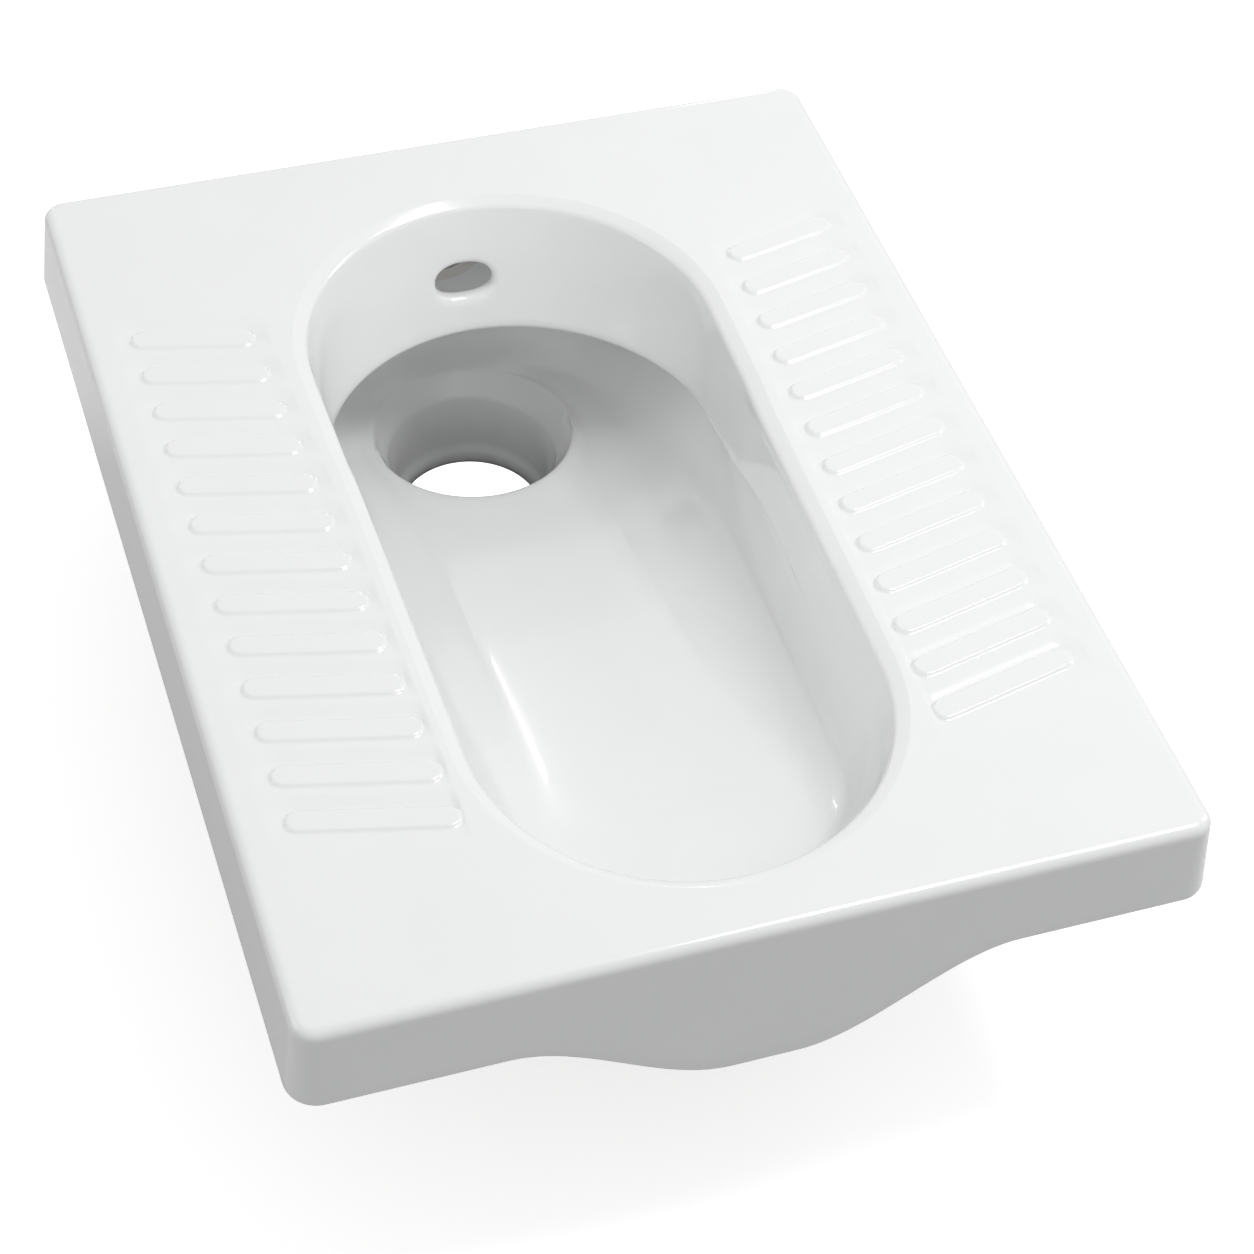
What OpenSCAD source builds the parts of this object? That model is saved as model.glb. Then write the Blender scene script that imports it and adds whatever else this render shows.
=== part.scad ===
// Squat toilet pan in glazed vitreous china, as set flush into a floor.
// Millimetres. Origin on the outlet's axis at the spigot's lower end, +Z up.
// +Y points to the rear of the pan, where the flush inlet is, and +X to the user's right.

/* [Deck] */
// Length of the deck, front to rear
deck_l = 580; // [560:5:640]
// Width of the deck
deck_w = 440; // [420:5:500]
// Thickness of the china in the deck
deck_t = 12; // [10:1:14]
// Plan radius of the deck's corners
corner_r = 12; // [8:1:18]
// Radius of the deck's top edge
edge_r = 6; // [3:0.5:7]

/* [Apron] */
// Drop from the deck's top face to the apron's lower edge
apron_drop = 48; // [40:1:60]
// Thickness of the apron
apron_t = 10; // [8:1:11]
// Distance that the apron leans out by at its lower edge
apron_lean = 4; // [0:0.5:6]
// Further drop of the front apron in front of the bowl
belly_drop = 39; // [25:1:50]
// Width of the belly's level part
belly_flat = 70; // [40:5:100]
// Length of the curve at each side of the belly
belly_run = 78; // [50:2:90]

/* [Bowl] */
// Distance from the deck's front edge to the opening
front_gap = 38; // [34:1:60]
// Distance from the deck's rear edge to the opening
rear_gap = 63; // [60:1:75]
// Width of the opening at its rear
open_w_rear = 216; // [200:2:224]
// Width of the opening at its front
open_w_front = 206; // [190:2:216]
// Radius of the opening's rounded rim
rim_r = 9; // [5:0.5:10]
// Thickness of the china in the bowl
bowl_t = 11; // [9:1:13]
// Depth of the bowl's floor behind its front wall
floor_front = 64; // [54:1:72]
// Depth of the floor where it meets the outlet's mouth
floor_rear = 134; // [124:1:142]

/* [Flush collar] */
// Depth of the collar's lower lip below the deck's top face
lip_depth = 72; // [60:1:80]
// Thickness of the collar
collar_t = 9; // [7:0.5:11]
// Distance that the lip stands forward of the opening's rear edge
lip_forward = 23; // [14:1:28]
// Clear width of the flush channel behind the collar's top
channel_w = 26; // [22:1:28]
// Width of the flush port in the collar
port_w = 33; // [24:1:40]
// Height of the flush port
port_h = 18; // [12:1:24]
// Depth of the port's centre below the deck's top face
port_depth = 42; // [38:1:46]

/* [Flush inlet] */
// Bore of the flush inlet horn
inlet_bore = 38; // [32:1:42]
// Wall of the flush inlet horn
inlet_wall = 8; // [6:0.5:9]
// Depth of the inlet's axis below the deck's top face
inlet_depth = 50; // [46:1:56]

/* [Outlet] */
// Whole height, from the deck's top face to the spigot's lower end
pan_h = 204; // [196:1:230]
// Distance from the deck's rear edge to the outlet's axis
outlet_back = 96; // [92:1:104]
// Diameter of the outlet's mouth in the bowl's floor
mouth_d = 115; // [108:1:122]
// Diameter of the passage where the spigot takes over from the bowl
throat_d = 96; // [92:1:100]
// Diameter of the passage's lower end
bore_d = 82; // [76:1:88]
// Outer diameter of the spigot
spigot_d = 104; // [100:1:110]

/* [Treads] */
// Number of bars on each side
bars = 13; // [8:1:13]
// Distance from one bar to the next
bar_pitch = 28; // [24:0.5:29]
// Width of a bar
bar_w = 12; // [9:0.5:14]
// Height of a bar above the floor of its recess
bar_h = 3.6; // [2.5:0.1:4.5]
// Angle of the bars, which fall towards the front and the bowl
bar_angle = 13; // [5:0.5:18]
// Distance from the deck's side edge to the bars' outer ends
bar_margin = 26; // [22:1:32]
// Gap from the rim's rounded edge to the rear-most bars
bar_gap_rear = 15; // [9:0.5:18]
// Gap from the line of the rim's rounded edge to the front-most bars
bar_gap_front = 6; // [5:0.5:16]
// Depth of the recess that the bars stand in
recess_d = 3; // [2:0.5:4]

/* [Hidden] */
china = [0.96, 0.97, 0.97];
arc_steps = 26;         // facets of a round end of the bowl
side_steps = 8;         // facets of a straight side of the bowl
stage_steps = 3;        // rings from one section of the bowl to the next
half_l = deck_l / 2;
half_w = deck_w / 2;
// The opening is a slot with a round end of its own radius at the front and at the rear.
rear_r = open_w_rear / 2;
front_r = open_w_front / 2;
open_front = -half_l + front_gap;
open_rear = half_l - rear_gap;
rear_y = open_rear - rear_r;
front_y = open_front + front_r;
outlet_y = half_l - outlet_back;
throat_drop = 28;       // from the outlet's mouth down to the throat
throat_depth = floor_rear + throat_drop;
recess_edge = 5;        // reach of the recess past a bar, all round
first_bar_back = 47;    // from the centre of the opening's round rear to the rear-most bar
first_bar = rear_y + first_bar_back;
bar_out = half_w - bar_margin - bar_w / 2;
$fn = 96;

function smooth(t) = let (c = min(1, max(0, t))) c * c * (3 - 2 * c);
function mix(a, b, t) = a + (b - a) * t;

// Everything is drawn with z = 0 on the deck's top face and y = 0 at its middle, then set down here.
module place() {
    translate([0, -outlet_y, pan_h])
        children();
}

// ---------------------------------------------------------------- deck and apron

// Sweeps a profile round the deck: its x is counted outwards from the corners' centres.
module round_the_deck() {
    reach = [half_w - corner_r, half_l - corner_r];
    for (i = [0 : 3]) {
        out = i % 2;
        rotate(i * 90) {
            translate([reach[out], reach[1 - out], 0])
                rotate_extrude(angle = 90)
                    children();
            translate([reach[out], 0, 0])
                rotate([90, 0, 0])
                    linear_extrude(2 * reach[1 - out], center = true)
                        children();
        }
    }
}

// Outward reach of the leaning outer face at a depth below the deck's top face.
function edge_x(depth) = corner_r + apron_lean * (depth - edge_r) / (apron_drop - edge_r);

module deck_edge_profile() {
    translate([0, -deck_t])
        square([corner_r - edge_r, deck_t]);
    translate([corner_r - edge_r, -edge_r])
        intersection() {
            circle(edge_r);
            square(edge_r);
        }
    polygon([
        [0, -edge_r], [corner_r, -edge_r], [edge_x(deck_t), -deck_t], [0, -deck_t]
    ]);
}

module apron_profile(drop = apron_drop) {
    polygon([
        [edge_x(deck_t), -deck_t], [edge_x(drop), -drop], [edge_x(drop) - apron_t, -drop],
        [edge_x(deck_t) - apron_t, -deck_t]
    ]);
}

// What the opening and its rounded rim take out of the deck, from below it up to above it.
module opening_cut() {
    function outline(grow, depth) =
        [for (p = concat(round_end(rear_r + grow, rear_y, 0), round_end(front_r + grow, front_y, 180)))
            [p[0], p[1], -depth]];
    rim_steps = 8;
    stacked_rings(concat(
        [outline(0, deck_t + 1)],
        [for (i = [0 : rim_steps]) let (a = 90 * i / rim_steps)
            outline(rim_r * (1 - cos(a)), rim_r * (1 - sin(a)))],
        [outline(rim_r, -1)]
    ));
}

module deck() {
    color(china)
        place()
            difference() {
                union() {
                    translate([corner_r - half_w, corner_r - half_l, -deck_t])
                        cube([deck_w - 2 * corner_r, deck_l - 2 * corner_r, deck_t]);
                    round_the_deck()
                        deck_edge_profile();
                }
                opening_cut();
                for (side = [-1, 1])
                    tread_recess(side);
            }
}

// Lower edge of the front apron at a distance from the middle.
function belly(x) = apron_drop + belly_drop * smooth((belly_flat / 2 + belly_run - abs(x)) / belly_run);

// The front side of the apron with its belly, turned to run along X.
module front_wall() {
    span = half_w - corner_r;
    turn = belly_flat / 2 + belly_run;
    steps = 24;
    intersection() {
        rotate(-90)
            translate([half_l - corner_r, 0, 0])
                rotate([90, 0, 0])
                    linear_extrude(2 * span, center = true)
                        apron_profile(apron_drop + belly_drop);
        rotate([90, 0, 0])
            linear_extrude(deck_l)
                polygon([
                    [-half_w, 0], [-half_w, -apron_drop],
                    for (i = [0 : steps]) let (x = mix(-turn, -belly_flat / 2, i / steps)) [x, -belly(x)],
                    for (i = [0 : steps]) let (x = mix(belly_flat / 2, turn, i / steps)) [x, -belly(x)],
                    [half_w, -apron_drop], [half_w, 0]
                ]);
    }
}

module apron() {
    notch_r = inlet_bore / 2 + inlet_wall + 6;
    color(china)
        place()
            difference() {
                union() {
                    round_the_deck()
                        apron_profile();
                    front_wall();
                }
                translate([0, half_l, -inlet_depth])
                    rotate([90, 0, 0])
                        cylinder(h = 4 * apron_t, r = notch_r, center = true);
            }
}

// ---------------------------------------------------------------- treads

function bar_y(i) = first_bar - i * bar_pitch;
// Half width of the opening beside a point of the treads.
function open_x(y) = mix(front_r, rear_r, (y - front_y) / (rear_y - front_y));
function bar_in(i) = open_x(bar_y(i)) + rim_r + mix(bar_gap_rear, bar_gap_front, i / (bars - 1)) + bar_w / 2;

module bar_shape(side, i, r) {
    run = (bar_out - bar_in(i)) / cos(bar_angle);
    translate([side * bar_out, bar_y(i)])
        rotate(side > 0 ? 180 + bar_angle : -bar_angle) {
            circle(r);
            translate([0, -r])
                square([run, 2 * r]);
            translate([run, 0])
                circle(r);
        }
}

module tread_recess(side) {
    translate([0, 0, -recess_d])
        linear_extrude(recess_d + 1)
            for (i = [0 : bars - 1])
                bar_shape(side, i, bar_w / 2 + recess_edge);
}

// One bar with a domed top and round ends, lying along +X from the origin.
module bar(run) {
    module half_profile() {
        crown = bar_h * 0.62;
        square([bar_w / 2, bar_h - crown]);
        translate([0, bar_h - crown])
            intersection() {
                translate([bar_w / 2 - crown, 0])
                    circle(crown);
                square(bar_w);
            }
        square([bar_w / 2 - crown, bar_h]);
    }
    for (end = [[0, 90], [run, -90]])
        translate([end[0], 0, 0])
            rotate(end[1])
                rotate_extrude(angle = 180)
                    half_profile();
    rotate([90, 0, 90])
        linear_extrude(run) {
            half_profile();
            mirror([1, 0])
                half_profile();
        }
}

module tread(side) {
    color(china)
        place()
            for (i = [0 : bars - 1])
                translate([side * bar_out, bar_y(i), -recess_d])
                    rotate(side > 0 ? 180 + bar_angle : -bar_angle)
                        bar((bar_out - bar_in(i)) / cos(bar_angle));
}

// ---------------------------------------------------------------- bowl

// A section of the bowl is a closed slot ring: front tip, front radius, rear tip, rear radius,
// depth at the front tip, depth at the rear tip, then the slope of the wall at the front and at
// the rear in degrees, where 0 is upright and 90 is level.
shell_rear = open_rear + collar_t + channel_w;
shell_r = rear_r + collar_t;
mouth_r = mouth_d / 2;
mouth_front = outlet_y - mouth_r;
mouth_rear = outlet_y + mouth_r;
toe_run = 40;           // from the opening's front edge to where its wall has turned into the floor
floor_run = 122;        // level-sided stretch of the floor behind the toe
toe = open_front + toe_run;
floor_mid = toe + floor_run;
floor_near = mix(floor_mid, mouth_front, 0.5);
floor_fall = (floor_rear - floor_front) / (mouth_front - toe);
function floor_depth(y) = floor_front + floor_fall * (y - toe);
sections = [
    [open_front, front_r, shell_rear, shell_r, deck_t, deck_t, 0, 0],
    [open_front + 3, front_r - 3.5, shell_rear, shell_r - 1, floor_front - 34, floor_rear - 92, 4, 0],
    [open_front + 9, front_r - 9, shell_rear - 1, shell_r - 4, floor_front - 19, floor_rear - 59, 18, 3],
    [open_front + 21, front_r - 16, shell_rear - 3, shell_r - 10, floor_front - 8, floor_rear - 36, 40, 8],
    [toe, front_r - 25, shell_rear - 6, shell_r - 18, floor_front, floor_rear - 22, 62, 14],
    [toe + 42, front_r - 37, shell_rear - 9, shell_r - 28, floor_depth(toe + 42), floor_rear - 9, 74, 18],
    [floor_mid, front_r - 48, shell_rear - 11, shell_r - 38, floor_depth(floor_mid), floor_rear + 1, 78, 18],
    [floor_near, mouth_r - 5, mouth_rear + 1, mouth_r + 12, floor_depth(floor_near), floor_rear + 5, 78, 14],
    [mouth_front - 30, mouth_r - 3, mouth_rear + 1, mouth_r + 5, floor_depth(mouth_front - 30),
        floor_rear + 7.5, 76, 16],
    [mouth_front, mouth_r, mouth_rear, mouth_r, floor_rear, floor_rear + 9, 45, 20],
    [mouth_front + 4, mouth_r - 4, mouth_rear - 4, mouth_r - 4, floor_rear + 9, floor_rear + 16, 20, 20],
    [outlet_y - throat_d / 2, throat_d / 2, outlet_y + throat_d / 2, throat_d / 2, throat_depth, throat_depth,
        10, 10],
];

// Catmull-Rom blend from one section to the next.
function between(a, b, c, d, t) =
    b + t / 2 * (c - a + t * (2 * a - 5 * b + 4 * c - d + t * (3 * (b - c) + d - a)));
function section_at(list, k, t) =
    let (n = len(list) - 1)
    between(list[max(0, k - 1)], list[k], list[k + 1], list[min(n, k + 2)], t);
function blended(list) = [
    for (k = [0 : len(list) - 2], j = [0 : stage_steps - 1]) section_at(list, k, j / stage_steps),
    list[len(list) - 1]
];

// Plan points of half a circle round a centre on the middle line.
function round_end(r, y, start) =
    [for (i = [0 : arc_steps]) let (a = start + 180 * i / arc_steps) [r * cos(a), y + r * sin(a)]];

// Points of a ring, from the rear right round the rear, down the left, round the front and up the right.
function ring(s) =
    let (
        ry = s[2] - s[3],
        fy = s[0] + s[1],
        line_r = s[1] + (rear_r - front_r) * (ry - fy) / (rear_y - front_y),
        swell = max(0, s[3] - line_r),
        reach = mix(1.8, 1.25, smooth((s[4] - deck_t) / (floor_front - deck_t))),
        side = [for (i = [1 : side_steps - 1]) let (u = i / side_steps)
            [mix(s[3] - swell, s[1], u) + swell * pow(smooth(1 - u * reach), 0.75), mix(ry, fy, u)]],
        plan = concat(
            round_end(s[3], ry, 0),
            [for (p = side) [-p[0], p[1]]],
            round_end(s[1], fy, 180),
            [for (i = [side_steps - 2 : -1 : 0]) side[i]]
        )
    )
    [for (p = plan) [p[0], p[1], -mix(s[4], s[5], (p[1] - s[0]) / (s[2] - s[0]))]];

// The outside of the wall at a section: moved out by the wall, square to the slope.
function outside(s) =
    let (out = [bowl_t * cos(s[6]), bowl_t * cos(s[7])], down = [bowl_t * sin(s[6]), bowl_t * sin(s[7])])
    [s[0] - out[0], s[1] + out[0], s[2] + out[1], s[3] + out[1], s[4] + down[0], s[5] + down[1]];

neck_r = throat_d / 2 + bowl_t;
bowl_out = concat(
    [for (i = [0 : len(sections) - 4]) outside(sections[i])],
    [
        [mouth_front - 6, mouth_r + 6, mouth_rear + 8, mouth_r + 8, floor_rear + 15, floor_rear + 20],
        [outlet_y - neck_r, neck_r, outlet_y + neck_r, neck_r, throat_depth, throat_depth]
    ]
);

// Solid between stacked closed rings that all have the same number of points.
module stacked_rings(rings) {
    n = len(rings[0]);
    last = len(rings) - 1;
    polyhedron(
        points = [for (r = rings, p = r) p],
        faces = concat(
            [[for (i = [0 : n - 1]) i]],
            [for (k = [0 : last - 1], i = [0 : n - 1]) let (j = (i + 1) % n)
                each [[k * n + i, (k + 1) * n + i, (k + 1) * n + j], [k * n + i, (k + 1) * n + j, k * n + j]]],
            [[for (i = [n - 1 : -1 : 0]) last * n + i]]
        )
    );
}

// Closed skin through rings that run down the inside and back up the outside.
module ring_skin(rings) {
    n = len(rings[0]);
    m = len(rings);
    polyhedron(
        points = [for (r = rings, p = r) p],
        faces = [for (k = [0 : m - 1], i = [0 : n - 1]) let (j = (i + 1) % n, l = (k + 1) % m)
            each [[k * n + i, l * n + j, l * n + i], [k * n + i, k * n + j, l * n + j]]]
    );
}

module bowl() {
    inner = [for (s = blended(sections)) ring(s)];
    outer = [for (s = blended(bowl_out)) ring(s)];
    color(china)
        place()
            difference() {
                ring_skin(concat(inner, [for (k = [len(outer) - 1 : -1 : 0]) outer[k]]));
                translate([0, half_l, -inlet_depth])
                    rotate([90, 0, 0])
                        cylinder(h = 4 * bowl_t, r = inlet_bore / 2 + inlet_wall);
            }
}

// ---------------------------------------------------------------- flush collar

// The collar hangs from the deck round the rear of the opening and fades out along the sides.
lip_end = 44;           // depth of the lip where the collar fades out
collar_end = 8;         // how far forward the collar reaches
collar_thin = 2;        // thickness of the collar's ends
collar_edge = 0.2;      // share of the collar's length that lies along each side
lip_r = rear_r - 5;
lip_y = open_rear - lip_forward - lip_r;
lip_end_x = open_x(collar_end) - 6;

// Plan point of the collar at a station along it, from the right end (0) round to the left end (1).
function collar_plan(t, r, yc, end_x) =
    let (near = min(t, 1 - t) / collar_edge, side = t < 0.5 ? 1 : -1)
    near < 1 ? [side * mix(end_x, r, near), mix(collar_end, yc, near)]
    : let (a = 180 * (t - collar_edge) / (1 - 2 * collar_edge)) [r * cos(a), yc + r * sin(a)];
function collar_wall(t) = min(collar_t, collar_thin + (collar_t - 3) * pow(min(t, 1 - t) / collar_edge, 2));
function lip_at(y) = lip_end + (lip_depth - lip_end) * sin(90 * (y - collar_end) / (lip_y + lip_r - collar_end));

// Section of the collar at a station: down the front, round the lip and up the back.
function collar_ring(t) =
    let (
        thick = collar_wall(t),
        low = lip_at(collar_plan(t, lip_r, lip_y, lip_end_x)[1]),
        round_r = thick / 2,
        top_x = open_x(collar_end)
    )
    concat(
        [concat(collar_plan(t, rear_r, rear_y, top_x), -deck_t)],
        [for (a = [0 : 30 : 180]) let (out = round_r * (1 - cos(a)))
            concat(collar_plan(t, lip_r + out, lip_y, lip_end_x + out), -low + round_r - round_r * sin(a))],
        [concat(collar_plan(t, rear_r + thick, rear_y, top_x + thick), -deck_t)]
    );

// The port's outline: a slot with round ends.
module port_outline() {
    straight = port_w - port_h;
    for (s = [-1, 1])
        translate([s * straight / 2, 0])
            circle(d = port_h);
    square([straight, port_h], center = true);
}

module flush_collar() {
    stations = 51;
    color(china)
        place()
            difference() {
                stacked_rings([for (k = [0 : stations]) collar_ring(k / stations)]);
                translate([0, open_rear + collar_t, -port_depth])
                    rotate([90, 0, 0])
                        linear_extrude(lip_forward + 2 * collar_t)
                            port_outline();
            }
}

// ---------------------------------------------------------------- horns

module outlet_horn() {
    top = pan_h - throat_depth;
    lip_h = 8;          // height of the bore's cylindrical lower end
    step_h = 6;         // height of the step above it
    step = 3;           // width of the step
    chamfer = 1;        // edge of the bore's lower end
    color(china)
        rotate_extrude()
            polygon([
                [bore_d / 2 + chamfer, 0], [spigot_d / 2, 0],
                [spigot_d / 2, top - neck_r + spigot_d / 2], [neck_r, top],
                [throat_d / 2, top], [bore_d / 2 + step, lip_h + step_h], [bore_d / 2, lip_h],
                [bore_d / 2, chamfer]
            ]);
}

module inlet_horn() {
    inner_end = shell_rear - 4;
    color(china)
        place()
            translate([0, half_l, -inlet_depth])
                rotate([90, 0, 0])
                    difference() {
                        cylinder(h = half_l - inner_end, r = inlet_bore / 2 + inlet_wall);
                        translate([0, 0, -1])
                            cylinder(h = half_l - inner_end + 2, r = inlet_bore / 2);
                    }
}

deck();
apron();
tread(-1);  // tread_left
tread(1);  // tread_right
bowl();
flush_collar();
outlet_horn();
inlet_horn();
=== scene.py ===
"""Looks of the squat pan: one glazed china casting, drawn in the CAD's frame."""
import math

import bmesh
import bpy
from mathutils import Matrix, Vector


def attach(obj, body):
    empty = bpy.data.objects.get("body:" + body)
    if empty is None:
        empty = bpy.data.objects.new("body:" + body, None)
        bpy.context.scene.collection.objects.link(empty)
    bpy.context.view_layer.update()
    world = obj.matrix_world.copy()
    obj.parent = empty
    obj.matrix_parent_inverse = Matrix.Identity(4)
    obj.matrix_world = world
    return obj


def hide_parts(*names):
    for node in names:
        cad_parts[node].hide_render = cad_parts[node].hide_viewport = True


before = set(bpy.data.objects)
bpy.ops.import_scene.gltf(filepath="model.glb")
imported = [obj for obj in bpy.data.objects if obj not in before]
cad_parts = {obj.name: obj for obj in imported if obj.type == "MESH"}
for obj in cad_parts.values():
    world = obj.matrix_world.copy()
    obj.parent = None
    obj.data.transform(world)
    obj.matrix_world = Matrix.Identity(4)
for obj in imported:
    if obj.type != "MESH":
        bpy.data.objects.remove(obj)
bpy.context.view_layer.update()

# Everything is drawn in millimetres with z = 0 on the deck's top face and y = 0 at its middle,
# then set down with the outlet's axis on the frame's origin.
PAN_H = 204
OUTLET_Y = 194
SET_DOWN = Matrix.Scale(0.001, 4) @ Matrix.Translation((0, -OUTLET_Y, PAN_H))

HALF_L, HALF_W = 290, 220
CORNER_R, EDGE_R = 12, 6
DECK_T = 12
APRON_DROP, APRON_T, APRON_LEAN, APRON_EDGE_R = 48, 10, 4, 2.5
BELLY_DROP, BELLY_FLAT, BELLY_RUN = 41, 32, 108
FRONT_GAP, REAR_GAP = 38, 63
REAR_R, FRONT_R = 108, 103
RIM_R = 9
BAND_R, BAND_W, BAND_SLOPE = 2.5, 5, math.radians(26)      # the sloping band round the rim
BAND_STEPS, RIM_STEPS = 4, 9
BOWL_T = 11
FLOOR_FRONT, FLOOR_REAR = 64, 134
LIP_DEPTH, LIP_FORWARD = 72, 23
COLLAR_T, CHANNEL_W = 9, 26
PORT_W, PORT_H, PORT_DEPTH = 33, 18, 42
INLET_R, INLET_WALL, INLET_DEPTH = 19, 8, 50
NOTCH_R = INLET_R + INLET_WALL + 6
MOUTH_R, THROAT_R, BORE_R, SPIGOT_R = 57.5, 48, 41, 52

OPEN_FRONT = -HALF_L + FRONT_GAP
OPEN_REAR = HALF_L - REAR_GAP
REAR_Y = OPEN_REAR - REAR_R
FRONT_Y = OPEN_FRONT + FRONT_R
THROAT_DEPTH = FLOOR_REAR + 28

WELD = 1e-3                 # points closer than this are one point
SHARP = 0.6                 # edges that turn by more than this, in radians, aren't smoothed
SHARP_TURNED = 0.9          # the same for the horns


def mix(a, b, t):
    return a + (b - a) * t


def clamp(t):
    return min(1.0, max(0.0, t))


def smooth(t):
    t = clamp(t)
    return t * t * (3 - 2 * t)


def soft(t):
    """As smooth, but with no jump in curvature at its ends."""
    t = clamp(t)
    return t ** 3 * (10 - 15 * t + 6 * t * t)


# ------------------------------------------------------------------ mesh helpers

def first_ring(bm, count, place):
    """A closed ring of vertices, each put where place says."""
    ring = bmesh.ops.create_circle(bm, cap_ends=False, segments=count, radius=1)["verts"]
    for i, v in enumerate(ring):
        v.co = place(i)
    return ring


def ring_edges(bm, ring):
    """The edges of a closed ring, in its order."""
    return [bm.edges.get((v, ring[(i + 1) % len(ring)])) for i, v in enumerate(ring)]


def next_ring(bm, ring, place):
    """Extrudes a ring and puts each new vertex where place says."""
    grown = bmesh.ops.extrude_edge_only(bm, edges=ring_edges(bm, ring))["geom"]
    new = {v for v in grown if isinstance(v, bmesh.types.BMVert)}
    out = []
    for i, v in enumerate(ring):
        w = next(e.other_vert(v) for e in v.link_edges if e.other_vert(v) in new)
        w.co = place(i)
        out.append(w)
    return out


def weld_rings(bm, a, b):
    """Puts ring a on ring b and joins the two."""
    for v, w in zip(a, b):
        w.co = v.co
    bmesh.ops.remove_doubles(bm, verts=list(a) + list(b), dist=WELD)


def fill_between(bm, loops):
    """Fills the level ground between one outer loop and the loops inside it."""
    edges = [e for loop in loops for e in ring_edges(bm, loop)]
    bmesh.ops.triangle_fill(bm, use_beauty=True, use_dissolve=False, edges=edges)


def finished(name, bm, material, slot, *nodes, sharp=SHARP):
    """Turns a closed mesh into a piece, set down in the frame, that stands for its nodes."""
    bmesh.ops.recalc_face_normals(bm, faces=bm.faces)
    bmesh.ops.transform(bm, matrix=SET_DOWN, verts=bm.verts)
    for face in bm.faces:
        face.smooth = True
    for edge in bm.edges:
        if len(edge.link_faces) == 2 and edge.calc_face_angle() > sharp:
            edge.smooth = False
    mesh = bpy.data.meshes.new(name)
    bm.to_mesh(mesh)
    bm.free()
    mesh.materials.append(material)
    piece = bpy.data.objects.new(name, mesh)
    bpy.context.scene.collection.objects.link(piece)
    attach(piece, "root")
    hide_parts(*nodes)


# ------------------------------------------------------------------ finishes

class Signal:
    """A material's socket that takes Python's arithmetic."""

    def __init__(self, finish, socket):
        self.finish = finish
        self.socket = socket

    def math(self, operation, *others):
        return self.finish.node("ShaderNodeMath", {"operation": operation}, *others)

    def __add__(self, other):
        return self.math("ADD", self, other)

    def __radd__(self, other):
        return self.math("ADD", other, self)

    def __sub__(self, other):
        return self.math("SUBTRACT", self, other)

    def __rsub__(self, other):
        return self.math("SUBTRACT", other, self)

    def __mul__(self, other):
        return self.math("MULTIPLY", self, other)

    def __rmul__(self, other):
        return self.math("MULTIPLY", other, self)

    def between(self, low, high):
        """0 below low, 1 above high, straight between."""
        return self.finish.node("ShaderNodeMapRange", {}, self, low, high, 0.0, 1.0)


class Finish:
    """Nodes of one material, or of the world."""

    def __init__(self, owner):
        owner.use_nodes = True
        self.owner = owner
        self.tree = owner.node_tree
        self.tree.nodes.clear()

    def put(self, socket, value):
        """Links a signal to a socket, or sets a constant on it."""
        if isinstance(value, Signal):
            self.tree.links.new(value.socket, socket)
        else:
            socket.default_value = value

    def node(self, kind, settings, *values, out=0, **named):
        """Adds a node with its inputs by place or by name; returns one of its outputs."""
        made = self.tree.nodes.new(kind)
        for key, value in settings.items():
            setattr(made, key, value)
        for i, value in enumerate(values):
            self.put(made.inputs[i], value)
        for key, value in named.items():
            self.put(made.inputs[key.replace("_", " ")], value)
        return Signal(self, made.outputs[out]) if made.outputs else None

    def blend(self, factor, a, b):
        """A colour between two colours."""
        made = self.tree.nodes.new("ShaderNodeMix")
        made.data_type = "RGBA"
        for i, value in ((0, factor), (6, a), (7, b)):
            self.put(made.inputs[i], value)
        return Signal(self, made.outputs[2])

    def noise(self, where, scale, detail=2.0, roughness=0.5):
        return self.node("ShaderNodeTexNoise", {}, Vector=where, Scale=scale, Detail=detail,
                         Roughness=roughness)


BARE_ROUGH = 0.62
BARE_FACING = (-0.96, -0.8)                 # upright part of the normal, from bare to glazed
COAT, COAT_ROUGH, CHINA_IOR = 0.5, 0.03, 1.5
WAVES, PEEL, POOLS = 7.0, 420.0, 22.0       # how fine the three noises in the glaze are
BUMP_STRENGTH, BUMP_HEIGHT = 0.35, 0.0012


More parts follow.
